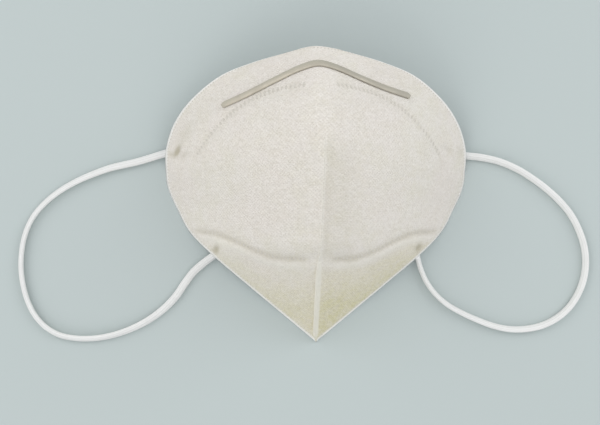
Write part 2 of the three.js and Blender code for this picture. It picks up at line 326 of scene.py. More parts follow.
# aluminium strip bent over the nose, through these places in plan
noseClip = {
    "width": 0.0032, "thick": 0.0008, "lift": 0.0002, "steps": 260,
    "bevel": 0.00034, "lowBevel": 0.000072, "crown": 0.00034, "waffle": (0, 0, 0),
    "wider": 0.18, "widerOver": 0.011,
    "bed": 0.00012, "bedEdge": (0.0013, 0.0025), "calm": (0.002, 0.006), "bedSteps": 140,
    "swell": 0.00010, "swellAt": 0.0034, "swellWidth": 0.0012,
    "line": [
        (-0.0412, 0.0401), (-0.0310, 0.0439), (-0.0190, 0.0493), (-0.0080, 0.0541),
        (-0.0010, 0.0559), (0.0060, 0.0544), (0.0170, 0.0502), (0.0280, 0.0467), (0.0387, 0.0444),
    ],
}

# pressed band along the rim
rimBand = {"depth": 0.00016, "from": 0.0020, "to": 0.0044}

# hollows and bulges where the loops are welded: x, y, reach, stretch, direction, depth
loopPuckers = [
    (-0.0623, 0.0220, 0.0011, 2.2, 60, 0.0016), (-0.0588, 0.0200, 0.0016, 1.5, 20, 0.0004),
    (-0.0652, 0.0206, 0.0008, 2.4, -14, 0.0006), (-0.0654, 0.0236, 0.0013, 1.8, 55, -0.0006),
    (-0.0606, 0.0240, 0.0020, 1.8, 50, -0.0005), (-0.0590, 0.0290, 0.0030, 2.2, 60, 0.0003),
    (0.0650, 0.0222, 0.0012, 2.0, 130, 0.0003), (0.0615, 0.0236, 0.0022, 1.7, 165, -0.0005),
    (0.0578, 0.0226, 0.0015, 1.5, 160, 0.0003), (-0.0452, -0.0220, 0.0014, 1.5, 60, 0.0012),
    (-0.0412, -0.0208, 0.0024, 1.6, 30, -0.0005), (0.0459, -0.0213, 0.0015, 1.3, 80, 0.0014),
    (0.0436, -0.0180, 0.0024, 1.6, 110, -0.0005),
]

# tones laid on the cloth, among them painted shade in grooves and hollows and over the chin, and a painted
# highlight on the lip below the chin fold: where each starts and is full, and how strong it is
clothMarks = {
    "clearOfMiddle": (0.003, 0.008), "clearOfRim": (0.003, 0.014), "leastAtRim": 0.25,
    "lipBelow": 0.0030, "lipHighlightTone": 0.5, "grooveShadeTone": 0.6, "puckerDepth": 0.0011, "weldGrooveShadeTone": 0.12,
    # the chin's keys set a painted shade over the chin panel, darker and yellower, stronger on the right
    # side
    "rightSide": (-0.003, 0.004), "chinEdge": (0.002, 0.007), "chinDeep": (0.002, 0.026),
    "chinOnLeft": 0.62, "nearFoldShadeOnLeft": 0.12, "nearFoldShadeOnRight": 0.34,
}


def rowsAt(table, place):
    # smooth curve through the table's rows, read at fractional row numbers
    ends = np.vstack([2 * table[0] - table[1], table, 2 * table[-1] - table[-2]])
    start = np.clip(np.floor(place).astype(int), 0, len(table) - 2)
    t = (place - start)[..., None]
    p0, p1, p2, p3 = (ends[start + k] for k in range(4))
    square, cube = 2 * p0 - 5 * p1 + 4 * p2 - p3, 3 * (p1 - p2) + p3 - p0
    return p1 + 0.5 * t * ((p2 - p0) + t * (square + t * cube))


def foldLineY(x):
    rise = np.where(x < 0, smoothStep(-x, *chinFold["leftX"]), smoothStep(x, *chinFold["rightX"]))
    return chinFold["middleY"] + (chinFold["sideY"] - chinFold["middleY"]) * rise


def noseWeldY(x):
    return noseWeld["topY"] - noseWeld["drop"] * (np.abs(x) / noseWeld["span"]) ** noseWeld["power"]


def noseWeldBand(x, y):
    out = np.abs(x)
    reach = smoothStep(out, *noseWeld["start"]) * (1 - smoothStep(out, *noseWeld["end"]))
    return reach * bell(y, noseWeldY(x), noseWeld["width"])


def turnedShare(out, bend):
    # the share of the way to the rim, starting slowly where the middle is rounded
    return (np.hypot(out, bend) - bend) / (np.hypot(1, bend) - bend)


def cupBase(section, share):
    # outer face before its finer relief; share runs from -1 to 1 over the rims
    lean, midY, midZ, rimX, rimY, rimZ, bow, bend = np.moveaxis(rowsAt(cupSections, section), -1, 0)
    out = np.abs(share)
    turned = turnedShare(out, bend)
    left = 1 - (1 - bow) * turned - bow * turned ** cup["bowPower"]
    low = np.maximum(rimZ, 0)
    x = lean + (np.sign(share) * rimX - lean) * out
    y = midY + (rimY - midY) * turned
    dent = chinFold["depth"] * bell(y, foldLineY(x), chinFold["width"])
    return np.stack([x, y, low + (midZ - low) * left - dent * (1 - out)], -1)


def cupNormal(section, share, step=0.004, firstSection=0.4, noseShare=0.85):
    # from two short steps, kept clear of the nose edge and its corners
    start = np.clip(section, firstSection, lastSection - step)
    place = share * np.minimum(fromLeast(noseShare, section), 1)
    along = cupBase(start + step, place) - cupBase(start, place)
    right, left = np.minimum(place + step, 1), np.maximum(place - step, -1)
    normal = np.cross(along, cupBase(start, right) - cupBase(start, left))
    return normal / np.linalg.norm(normal, axis=-1)[..., None]


def noiseOver(points, pitch, seed):
    flat = points.reshape(-1, 3) / pitch + seed
    return np.array([noise.noise(Vector(p)) for p in flat]).reshape(points.shape[:-1])


def clipBed(x, y):
    # height of the cloth by the clip, pressed down under it and swollen beside it,
    # and where it is free to ripple
    away = np.full(x.shape, 1.0)
    for px, py in curveThrough(noseClip["line"], noseClip["bedSteps"])[0]:
        away = np.minimum(away, np.hypot(x - px, y - py))
    bed = noseClip["bed"] * (1 - smoothStep(away, *noseClip["bedEdge"]))
    swell = noseClip["swell"] * bell(away, noseClip["swellAt"], noseClip["swellWidth"])
    return swell - bed, smoothStep(away, *noseClip["calm"])


def puckersAt(x, y, keep):
    # depth of the hollows, of the bulges, or of both
    depths = np.zeros(x.shape)
    for px, py, size, stretch, direction, depth in loopPuckers:
        turn = math.radians(direction)
        u = (x - px) * math.cos(turn) + (y - py) * math.sin(turn)
        v = (y - py) * math.cos(turn) - (x - px) * math.sin(turn)
        if math.copysign(1, depth) in keep:
            depths += depth * bell(u, 0, size * stretch) * bell(v, 0, size)
    return depths


def reliefAt(points, toRim):
    # finer relief over the outer face, upwards positive
    x, y = points[..., 0], points[..., 1]
    inside = smoothStep(toRim, *cup["calmRim"])
    below = foldLineY(x) - y
    ends = smoothStep(np.abs(x), *chinFold["calmMiddle"])
    lip = chinFold["lip"] * bell(below, chinFold["lipBelow"], chinFold["lipWidth"])
    groove = chinFold["groove"] * bell(below, 0, chinFold["grooveWidth"])
    height = (lip * fromLeast(chinFold["lipInMiddle"], ends) - groove * ends) * inside
    height -= noseWeld["depth"] * noseWeldBand(x, y)
    height -= rimBand["depth"] * (1 - smoothStep(toRim, rimBand["from"], rimBand["to"]))
    height -= puckersAt(x, y, keep=(-1, 1))
    bed, free = clipBed(x, y)
    for high, pitch, seed in (cup["ripple"], cup["crumple"]):
        height += high * noiseOver(points, pitch, seed) * inside * free
    return height + bed


def cupHalf(side):
    # outer and inner faces of one side, centre to rim, with the cloth's own coordinates
    sections = np.linspace(0, lastSection, cup["rowsPerSection"] * lastSection + 1)
    power, wave = cup["crowding"]
    shares = np.linspace(0, 1, cup["columnsPerSide"] + 1)
    shares = shares ** power - wave * np.sin(2 * np.pi * shares) * shares
    section, share = np.meshgrid(sections, shares, indexing="ij")
    rimX = rowsAt(cupSections, section)[..., 3]
    fin = smoothStep(section, chinSeam["fromSection"], chinSeam["fullSection"])
    fin = fin * np.minimum((lastSection - section) * chinSeam["tipSlope"], 1)
    foot = fin * chinSeam["thick"] / 2 / np.maximum(rimX, 0.001)
    outShare = side * fromLeast(foot, share)
    base = cupBase(section, outShare)
    normal = cupNormal(section, outShare)
    run = lengthsAlong(base, 1)
    toRim = run[:, -1:] - run
    sharp = smoothStep(section, foldRidge["fromSection"], foldRidge["fullSection"]) * (1 - fin)
    near = bell(run, 0, foldRidge["width"])
    hollow = (side > 0) * bell(run, foldRidge["hollowAt"], foldRidge["hollowWidth"])
    crease = (foldRidge["height"] * near - foldRidge["hollow"] * hollow) * sharp
    # painted shade over a strip right of the crease, fading away from it
    shade = (side > 0) * smoothStep(run, *foldRidge["shadeStart"])
    shade = shade * (1 - smoothStep(run, *foldRidge["shadeEnd"]))
    outer = base + normal * (reliefAt(base, toRim) + crease)[..., None]
    # the wall thins into the pressed edge
    thinned = cup["wall"] - cup["edgeWall"]
    wall = cup["edgeWall"] + thinned * smoothStep(toRim, cup["edgeFrom"], rimBand["to"])
    # the inner face starts down the side, so that the wall keeps its thickness under the crest
    atTip = section == lastSection
    besideCrest = np.full_like(share, 0.02)
    crest = np.abs(cupNormal(section, besideCrest)[..., 0])
    reach = np.where(atTip, 0, crest * cup["wall"] / np.maximum(rimX, 1e-6))
    inShare = side * np.where(atTip, 0, fromLeast(reach, share))
    inBase = cupBase(section, inShare)
    inNormal = cupNormal(section, inShare)
    inner = inBase - inNormal * wall[..., None]
    inner[:, 0, 0] = rowsAt(cupSections, sections)[:, 0]
    # at the rim the cut edge is level where it lies on the table
    flatRun = np.linalg.norm(inNormal[..., :2], axis=-1)
    level = inBase.copy()
    level[..., :2] -= inNormal[..., :2] * (wall / np.maximum(flatRun, 0.05) ** 2)[..., None]
    square = smoothStep(inBase[..., 2], 0, cup["levelHeight"])[..., None]
    rim = level + (inner - level) * square
    inner[:, -1] = rim[:, -1]
    inner[-1] = rim[-1]
    return {
        "outer": outer, "inner": inner, "u": side * run, "toRim": toRim,
        "v": lengthsAlong(base, 0)[:, :1] + np.zeros_like(run),
        # painted highlight along the crest line and over the fin
        "ridgeHighlight": near * np.maximum(sharp * foldRidge["worn"], fin),
        # painted shade in the hollow and over the strip right of the crease
        "hollow": (hollow * foldRidge["hollowShadeTone"] + shade * foldRidge["shadeTone"]) * sharp,
        "fin": fin[:, 0], "crestNormal": cupNormal(section, 0 * share)[:, 0],
    }


def finColumns(left, right):
    # the fin's outline between its two feet, rounded at the top
    lean = math.radians(chinSeam["lean"])
    reach = right["fin"] * chinSeam["height"]
    half = right["fin"] * chinSeam["thick"] / 2
    foot = (left["outer"][:, 0] + right["outer"][:, 0]) / 2
    up = right["crestNormal"] * math.cos(lean) - np.array([1, 0, 0]) * math.sin(lean)
    out = np.cross(np.gradient(foot, axis=0), up)
    out /= np.maximum(np.linalg.norm(out, axis=1), 1e-9)[:, None]
    out *= np.sign(out[:, :1])
    return np.stack([foot + out * (half * wide)[:, None] + up * (reach * tall)[:, None]
                     for wide, tall in chinSeam["outline"]], 1)


def rimToRim(left, middle, right):
    # both halves of a grid as one, left rim to right rim, with the fin's columns between them
    return np.concatenate([left[:, ::-1], middle, right], 1)


def clothTones(x, y, toRim, hollow, ridgeHighlight):
    # painted shade in hollows, grooves and over the chin, and a painted highlight on the crest, the fin
    # and the lip
    look = clothMarks
    below = foldLineY(x) - y
    clear = smoothStep(np.abs(x), *look["clearOfMiddle"])
    clear = clear * fromLeast(look["leastAtRim"], smoothStep(toRim, *look["clearOfRim"]))
    groove = bell(below, 0, chinFold["grooveWidth"]) * clear
    lip = bell(below, look["lipBelow"], chinFold["lipWidth"]) * clear
    onRight = smoothStep(x, *look["rightSide"])
    # painted shade over the chin panel below the fold, stronger on the right and weaker near the fold
    nearFoldShade = look["nearFoldShadeOnLeft"] + (look["nearFoldShadeOnRight"] - look["nearFoldShadeOnLeft"]) * onRight
    chin = smoothStep(below, *look["chinEdge"]) * fromLeast(look["chinOnLeft"], onRight)
    # painted shade, darker in the pucker hollows, the chin fold's groove, the fold line's hollow with the
    # strip right of it, and the nose weld's groove
    puckers = puckersAt(x, y, keep=(1,)) / look["puckerDepth"]
    sunk = groove * look["grooveShadeTone"] + puckers + hollow + noseWeldBand(x, y) * look["weldGrooveShadeTone"]
    return {
        "toRim": toRim,
        "chin": chin * fromLeast(nearFoldShade, smoothStep(below, *look["chinDeep"])),
        # painted highlight on the crest line, the fin and the lip below the chin fold
        "raised": np.maximum(ridgeHighlight, lip * look["lipHighlightTone"]),
        "sunk": np.clip(sunk, 0, 1),
    }


def cupMesh():
    left, right = cupHalf(-1), cupHalf(1)
    fin = finColumns(left, right)
    finCount = fin.shape[1]
    outer = rimToRim(left["outer"], fin, right["outer"])
    inner = rimToRim(left["inner"], np.repeat(right["inner"][:, :1], finCount, 1), right["inner"])
    rows, columns = outer.shape[:2]
    points = np.concatenate([outer.reshape(-1, 3), inner.reshape(-1, 3)])
    points[:, 2] = np.maximum(points[:, 2], cup["floorGap"])
    # outer face, inner face, and the cut edge that joins them all round
    second = rows * columns
    grid = np.arange(second).reshape(rows, columns)
    edge = np.concatenate([grid[0, :-1], grid[:-1, -1], grid[-1, :0:-1], grid[:0:-1, 0]])
    faces = [*gridFaces(rows, columns)[:, ::-1], *gridFaces(rows, columns, first=second)]
    faces += [(a, b, second + b, second + a) for a, b in zip(edge, np.roll(edge, -1))]
    mesh = newMesh("respiratorCup", points, faces)
    inside = np.zeros(len(faces), int)
    inside[(rows - 1) * (columns - 1):2 * (rows - 1) * (columns - 1)] = 1
    mesh.polygons.foreach_set("material_index", inside)
    # the lining's coordinates lie beyond the outer cloth's
    finRun = lengthsAlong(fin, 1)
    half = finRun[:, -1:] / 2
    u = rimToRim(left["u"] - half, finRun - half, right["u"] + half)
    v = rimToRim(left["v"], np.repeat(right["v"][:, :1], finCount, 1), right["v"])
    under = np.where(u < 0, 2 * u[:, :1] - cup["edgeWall"], 2 * u[:, -1:] + cup["edgeWall"]) - u
    setUv(mesh, "cloth", np.append(u, under) / clothUnit, np.tile(v.ravel(), 2) / clothUnit)
    onFin = np.ones((rows, finCount))
    # the tones go on as attributes, painted shade and painted highlight among them
    tones = clothTones(
        outer[..., 0], outer[..., 1],
        toRim=rimToRim(left["toRim"], cup["finToRim"] * onFin, right["toRim"]),
        hollow=rimToRim(left["hollow"], 0 * onFin, right["hollow"]),
        ridgeHighlight=rimToRim(left["ridgeHighlight"], right["fin"][:, None] * onFin, right["ridgeHighlight"]))
    for name, value in tones.items():
        mesh.attributes.new(name, "FLOAT", "POINT").data.foreach_set("value", np.tile(value.ravel(), 2))
    work = bmesh.new()
    work.from_mesh(mesh)
    bmesh.ops.remove_doubles(work, verts=work.verts, dist=2e-6)
    bmesh.ops.dissolve_degenerate(work, edges=work.edges, dist=1e-7)
    work.to_mesh(mesh)
    work.free()
    mesh.shade_smooth()
    return mesh


cupPiece = addObject("respiratorCup", cupMesh())
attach(cupPiece, "root")
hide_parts("facepiece")
print("cup:", len(cupPiece.data.polygons), "faces")


# strips that follow the cup: the clip outside, the flattened loop ends inside

def spotOnCup(x, y, halvings=40):
    # section and share of a place in plan, by halving
    low = np.zeros(len(x))
    high = np.full(len(x), float(lastSection))
    for _ in range(halvings):
        between = (low + high) / 2
        lean, midY, midZ, rimX, rimY, rimZ, bow, bend = rowsAt(cupSections, between).T
        side = np.where(x < lean, -1, 1)
        out = np.clip((x - lean) / (side * rimX - lean), 0, 1)
        beyond = midY + (rimY - midY) * turnedShare(out, bend) > y
        low = np.where(beyond, between, low)
        high = np.where(beyond, high, between)
    return low, side * out


def roundedHalf(run, width, least=0.12):
    # half width along a strip with round ends
    short = np.maximum(width / 2 - np.minimum(run, run[-1] - run), 0)
    return np.maximum(np.sqrt((width / 2) ** 2 - short ** 2), least * width)


def stripMesh(name, plan, bottom, style):
    # a flat strip over the line in plan; bottom is its height above the outer face
    section, share = spotOnCup(plan[:, 0], plan[:, 1])
    foot, normal = cupBase(section, share), cupNormal(section, share)
    left = np.cross(normal, np.gradient(foot, axis=0))
    left /= np.linalg.norm(left, axis=1)[:, None]
    run = lengthsAlong(foot, 0)
    bevel, lowBevel, crown = style["bevel"], style["lowBevel"], style["crown"]
    waffle, wavesAlong, wavesAcross = style["waffle"]
    top = bottom + style["thick"]
    wider = 1 + style["wider"] * bell(run, run[-1] / 2, style["widerOver"])
    rings = []
    for k, wide in enumerate(roundedHalf(run, style["width"]) * wider):
        soft = min(bevel, wide / 2)
        outline = []
        for side, rise, start in ((1, 1, 0), (-1, 1, 90), (-1, -1, 180), (1, -1, 270)):
            edge, middle = (bevel, top - bevel) if rise > 0 else (lowBevel, bottom + lowBevel)
            spots = [(side * (wide - soft) + soft * math.cos(turn), edge * math.sin(turn))
                     for turn in np.radians(start + np.linspace(0, 90, 5))]
            if start in (0, 180):
                for out in np.linspace(side, -side, 13)[1:-1] * (wide - soft):
                    wave = math.sin(run[k] * wavesAlong) * math.sin(out * wavesAcross)
                    spots.append((out, rise * (edge - waffle * abs(wave))))
            outline += [(out, middle + height - crown * (out / wide) ** 2 * (rise > 0))
                        for out, height in spots]
        rings.append([foot[k] + left[k] * out + normal[k] * height for out, height in outline])
    count = len(rings[0])
    faces = [*gridFaces(len(rings), count, closed=True)]
    faces += [range(count)[::-1], range((len(rings) - 1) * count, len(rings) * count)]
    mesh = newMesh(name, np.reshape(rings, (-1, 3)), faces)
    around = np.linspace(0, 1, count)
    setUv(mesh, "along", np.repeat(run, count) / stripUnit, np.tile(around, len(rings)))
    work = bmesh.new()
    work.from_mesh(mesh)
    bmesh.ops.recalc_face_normals(work, faces=work.faces)
    work.to_mesh(mesh)
    work.free()
    mesh.shade_smooth()
    return mesh


clipLine = curveThrough(noseClip["line"], noseClip["steps"])[0]
clip = addObject("noseClip", stripMesh("noseClip", clipLine, noseClip["lift"], noseClip))
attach(clip, "root")
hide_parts("nose_clip")

loopWeld = {
    "length": 0.009, "width": 0.0046, "thick": 0.0008, "clearance": 0.00005, "steps": 60,
    "bevel": 0.0003, "lowBevel": 0.0003, "crown": 0, "wider": 0, "widerOver": 1,
    "waffle": (0.00018, 2400, 3000),  # depth, waves along and across in radians per metre
}

# name, node, start in plan just inside the rim, a place it points to
loopWelds = [
    ("loopWeldUpperLeft", "loop_weld_upper_left", (-0.0664, 0.0227), (-0.0580, 0.0252)),
    ("loopWeldUpperRight", "loop_weld_upper_right", (0.0664, 0.0214), (0.0580, 0.0226)),
    ("loopWeldLowerLeft", "loop_weld_lower_left", (-0.0452, -0.0236), (-0.0390, -0.0192)),
    ("loopWeldLowerRight", "loop_weld_lower_right", (0.0456, -0.0234), (0.0436, -0.0175)),
]

weldPads = []
for name, node, start, towards in loopWelds:
    start, towards = np.array(start), np.array(towards)
    heading = (towards - start) / np.linalg.norm(towards - start)
    line = start + heading * np.linspace(0, loopWeld["length"], loopWeld["steps"])[:, None]
    spots = cupBase(*spotOnCup(line[:, 0], line[:, 1]))
    line = start + (line - start) * loopWeld["length"] / lengthsAlong(spots, 0)[-1]
    bottom = -cup["wall"] - loopWeld["clearance"] - loopWeld["thick"]
    pad = addObject(name, stripMesh(name, line, bottom, loopWeld))
    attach(pad, "root")
    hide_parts(node)
    weldPads.append(pad)
print("clip and loop welds ready")


# weld marks: small pads melted into the cloth along each weld line

weldMarks = {  # pitch, length along, width across, thick, slant in degrees, scatter
    "noseWeld": (0.00195, 0.0011, 0.0029, 0.00020, 8, 0.10),
    "noseWeldEnd": (0.00195, 0.0010, 0.0027, 0.00014, 8, 0.10),
    "chinWeld": (0.00180, 0.0011, 0.0015, 0.00022, 0, 0.15),
    "rimWeld": (0.00150, 0.0007, 0.0007, 0.00012, 0, 0.10),
}


def addNode(tree, kind, inputs=None, output=0, **settings):
    # a node with its inputs linked or set; gives back the wanted output
    node = tree.nodes.new(kind)
    for key, value in settings.items():
        setattr(node, key, value)
    for key, value in (inputs or {}).items():
        if isinstance(value, bpy.types.NodeSocket):
            tree.links.new(value, node.inputs[key])
        else:
            node.inputs[key].default_value = value
    return node.outputs[output] if node.outputs else None


def mathNode(tree, operation, *values):
    return addNode(tree, "ShaderNodeMath", dict(enumerate(values)), operation=operation)


def newTree(kind, name, inputs, outputs):
    # each socket: title, kind, and its value where it has one
    tree = bpy.data.node_groups.new(name, kind)
    for way, sockets in (("INPUT", inputs), ("OUTPUT", outputs)):
        for title, socketKind, *value in sockets:
            socket = tree.interface.new_socket(title, in_out=way, socket_type="NodeSocket" + socketKind)
            if value:
                socket.default_value = value[0]
    return tree, tree.nodes.new("NodeGroupInput").outputs


def markTree():
    sizes = [(name, "Float") for name in ("Pitch", "Length", "Width", "Thick", "Slant", "Scatter")]
    tree, given = newTree(
        "GeometryNodeTree", "weldMarkRow",
        [("Geometry", "Geometry"), ("Cup", "Object"), *sizes, ("Seed", "Int"), ("Finish", "Material")],
        [("Geometry", "Geometry")])

    def rowNode(kind, inputs=None, **settings):
        return addNode(tree, "GeometryNode" + kind, inputs, **settings)

    line = rowNode("MeshToCurve", {"Mesh": given["Geometry"]})
    row = rowNode("ResampleCurve", {"Curve": line, "Length": given["Pitch"]}, mode="LENGTH")
    # seated on the cup, facing out of it
    cloth = rowNode("ObjectInfo", {"Object": given["Cup"]}, output="Geometry")
    nearest = rowNode("Proximity", {0: cloth}, output="Position")
    seated = rowNode("SetPosition", {"Geometry": row, "Position": nearest})
    facing = rowNode("InputNormal")
    normal = rowNode("SampleNearestSurface", {"Mesh": cloth, "Value": facing}, data_type="FLOAT_VECTOR")
    ahead = rowNode("InputTangent")
    turn = addNode(tree, "FunctionNodeAxesToRotation",
                   {"Primary Axis": normal, "Secondary Axis": ahead}, primary_axis="Z", secondary_axis="X")
    # each a little turned and resized
    low = mathNode(tree, "MULTIPLY", given["Scatter"], -1.0)
    jitter = addNode(tree, "FunctionNodeRandomValue",
                     {"Min": low, "Max": given["Scatter"], "Seed": given["Seed"]}, output=1)
    lean = mathNode(tree, "ADD", given["Slant"], jitter)
    angle = addNode(tree, "ShaderNodeCombineXYZ", {"Z": lean})
    spin = addNode(tree, "FunctionNodeEulerToRotation", {0: angle})
    turned = addNode(tree, "FunctionNodeRotateRotation", {"Rotation": turn, "Rotate By": spin},
                     rotation_space="LOCAL")
    grown = mathNode(tree, "ADD", jitter, 1.0)
    size = addNode(tree, "ShaderNodeCombineXYZ",
                   {"X": given["Length"], "Y": given["Width"], "Z": given["Thick"]})
    ball = rowNode("MeshUVSphere", {"Segments": 10, "Rings": 6, "Radius": 0.5})
    pad = rowNode("Transform", {"Geometry": ball, "Scale": size})
    marks = rowNode("InstanceOnPoints",
                    {"Points": seated, "Instance": pad, "Rotation": turned, "Scale": grown})
    real = rowNode("RealizeInstances", {"Geometry": marks})
    smooth = rowNode("SetShadeSmooth", {"Geometry": real})
    done = rowNode("SetMaterial", {"Geometry": smooth, "Material": given["Finish"]})
    addNode(tree, "NodeGroupOutput", {"Geometry": done})
    return tree


weldMarkTree = markTree()


def bakeNodes(host, tree, values):
    # run the tree on the host and keep the result as a plain mesh
    modifier = host.modifiers.new("nodes", "NODES")
    modifier.node_group = tree
    for item in tree.interface.items_tree:
        if item.in_out == "INPUT" and item.name in values:
            modifier[item.identifier] = values[item.name]
    graph = bpy.context.evaluated_depsgraph_get()
    mesh = bpy.data.meshes.new_from_object(host.evaluated_get(graph), depsgraph=graph)
    mesh.name = host.name
    old = host.data
    host.modifiers.remove(modifier)
    host.data = mesh
    bpy.data.meshes.remove(old)


def addMarks(name, lines, kind, seed):
    edges, first = [], 0
    for line in lines:
        edges += [(first + i, first + i + 1) for i in range(len(line) - 1)]
        first += len(line)
    row = addObject(name, newMesh(name, np.vstack(lines), (), edges))
    pitch, length, width, thick, slant, scatter = weldMarks[kind]
    bakeNodes(row, weldMarkTree, {
        "Cup": cupPiece, "Pitch": pitch, "Length": length, "Width": width, "Thick": thick,
        "Slant": math.radians(slant), "Scatter": scatter, "Seed": seed, "Finish": fusedCloth})
    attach(row, "root")
    print(f"{name}: {len(row.data.polygons)} faces")


# finishes

def eased(tree, value, start, full, most=1.0, kind="SMOOTHSTEP"):
    # 0 at the start, rising to the most where it is full
    return addNode(tree, "ShaderNodeMapRange",
                   {"Value": value, "From Min": start, "From Max": full, "To Min": 0.0, "To Max": most},
                   interpolation_type=kind)


def scaled(tree, value, times):
    return mathNode(tree, "MULTIPLY", value, times)


def mixColour(tree, factor, first, second, blend="MIX"):
    return addNode(tree, "ShaderNodeMix", {0: factor, 6: first, 7: second}, output=2,
                   data_type="RGBA", clamp_factor=True, blend_type=blend)


def bump(tree, height, depth, strength, onto=None):
    inputs = {"Height": height, "Distance": depth, "Strength": strength}
    if onto:
        inputs["Normal"] = onto
    return addNode(tree, "ShaderNodeBump", inputs)


def mapped(tree, vector, **settings):
    return addNode(tree, "ShaderNodeMapping", {"Vector": vector, **settings})


def bondGroup():
    # diamond grid of heat-pressed points
    tree, given = newTree("ShaderNodeTree", "bondPoints",
                          [("Vector", "Vector"), ("Scale", "Float", 1.0), ("Size", "Float", 0.25)],
                          [("Mask", "Float")])
    grid = mapped(tree, given["Vector"], Rotation=(0, 0, math.pi / 4))
    away = addNode(tree, "ShaderNodeTexVoronoi",
                   {"Vector": grid, "Scale": given["Scale"], "Randomness": 0.12},
                   output="Distance", voronoi_dimensions="2D")
    spot = eased(tree, away, scaled(tree, given["Size"], 1.5), given["Size"])
    addNode(tree, "NodeGroupOutput", {"Mask": spot})
    return tree


def fibreGroup():
    # long fine fibres laid in three directions
    tree, given = newTree("ShaderNodeTree", "fibreWeb", [("Vector", "Vector"), ("Scale", "Float", 1.0)],
                          [("Height", "Float")])
    total = 0.0
    for turn in (12, 71, 134):
        laid = mapped(tree, given["Vector"], Rotation=(0, 0, math.radians(turn)),
                      Location=(turn, turn, 0), Scale=(0.12, 1, 1))
        wisp = addNode(tree, "ShaderNodeTexNoise", {"Vector": laid, "Scale": given["Scale"],
                                                    "Detail": 2.0, "Distortion": 0.6})
        away = mathNode(tree, "ABSOLUTE", mathNode(tree, "SUBTRACT", wisp, 0.5))
        total = mathNode(tree, "MAXIMUM", total, eased(tree, away, 0.05, 0.0))
    addNode(tree, "NodeGroupOutput", {"Height": total})
    return tree


def unevenGroup():
    # soft uneven thickness of the web
    tree, given = newTree("ShaderNodeTree", "unevenWeb",
                          [("Vector", "Vector"), ("Scale", "Float", 1.0), ("Detail", "Float", 4.0),
                           ("Roughness", "Float", 0.6)], [("Tone", "Float")])
    cloud = addNode(tree, "ShaderNodeTexNoise",
                    {key: given[key] for key in ("Vector", "Scale", "Detail", "Roughness")})
    addNode(tree, "NodeGroupOutput", {"Tone": eased(tree, cloud, 0.36, 0.64)})
    return tree


bondPoints, fibreWeb, unevenWeb = bondGroup(), fibreGroup(), unevenGroup()


def useGroup(tree, group, vector, scale, **inputs):
    return addNode(tree, "ShaderNodeGroup", {"Vector": vector, "Scale": scale, **inputs},
                   node_tree=group)


def newMaterial(name, fixed):
    material = bpy.data.materials.new(name)
    material.use_nodes = True
    shader = material.node_tree.nodes["Principled BSDF"]
    for key, value in fixed.items():
        shader.inputs[key].default_value = value
    return material, material.node_tree, shader


def feed(tree, shader, values):
    for key, value in values.items():
        tree.links.new(value, shader.inputs[key])


def placeAndUv(tree, uvName):
    place = addNode(tree, "ShaderNodeTexCoord", output="Object")
    return place, addNode(tree, "ShaderNodeUVMap", uv_map=uvName)


clothLook = {
    "light": (0.86, 0.81, 0.735, 1),
    "thin": (0.81, 0.76, 0.65, 1),
    "rosy": (0.86, 0.78, 0.73, 1),
    "bond": (0.87, 0.86, 0.84, 1),
    "grain": (0.83, 0.82, 0.8, 1),
    # chin: colour of the painted shade on the chin panel
    "chin": (0.7, 0.648, 0.35, 1),
    # pressed: colour of the pressed band at the rim and of the fibres; near white at the rim, a painted
    # highlight along the edge
    "pressed": (0.95, 0.93, 0.89, 1),
    # raised: colour of the painted highlight on the crest, the fin and the lip
    "raised": (0.87, 0.835, 0.735, 1),
    # sunk: colour of the painted shade in hollows and grooves
    "sunk": (0.5, 0.46, 0.35, 1),
    "bondScale": 86.0,
    "bondSize": 0.22,
    "bondTone": 0.35,
    "bondDepth": 0.00007,
    "fibreScale": 300.0,
    "fibreTone": 0.35,
    "fibreDepth": 0.00004,
    "grainScale": 64.0,
    "grainTone": 0.85,
    "chinGrainShadeTone": 0.60,
    "patchScale": 210.0,
    "patchTone": 0.35,
    "thinScale": 14.0,
    "thinTone": 0.8,
    "rosyScale": 32.0,
    "rosyTone": 0.5,
    "pressedFrom": 0.0030,
    "pressedFull": 0.0008,
    "pressedTone": 0.9,
    "raisedHighlightTone": 0.8,
    "sunkShadeTone": 0.85,
    "rough": 0.92,
    "pressedRough": 0.70,
}

liningLook = {
    **clothLook,
    "light": (0.83, 0.815, 0.78, 1),
    "thin": (0.79, 0.77, 0.73, 1),
    "rosy": (0.83, 0.8, 0.77, 1),
    "bond": (0.9, 0.895, 0.88, 1),
    "grain": (0.9, 0.895, 0.88, 1),
    # chin: the lining's painted shade on the chin panel
    "chin": (0.8, 0.78, 0.72, 1),
    "pressed": (0.76, 0.75, 0.725, 1),
    # raised: the lining's painted highlight colour
    "raised": (0.83, 0.815, 0.78, 1),
    # sunk: the lining's painted shade in hollows and grooves
    "sunk": (0.64, 0.62, 0.57, 1),
    "bondScale": 110.0,
    "bondSize": 0.20,
    "bondTone": 0.4,
    "bondDepth": 0.00005,
    "fibreScale": 380.0,
    "fibreDepth": 0.00003,
    "grainTone": 0.4,
    "chinGrainShadeTone": 0.20,
    "patchScale": 160.0,
}


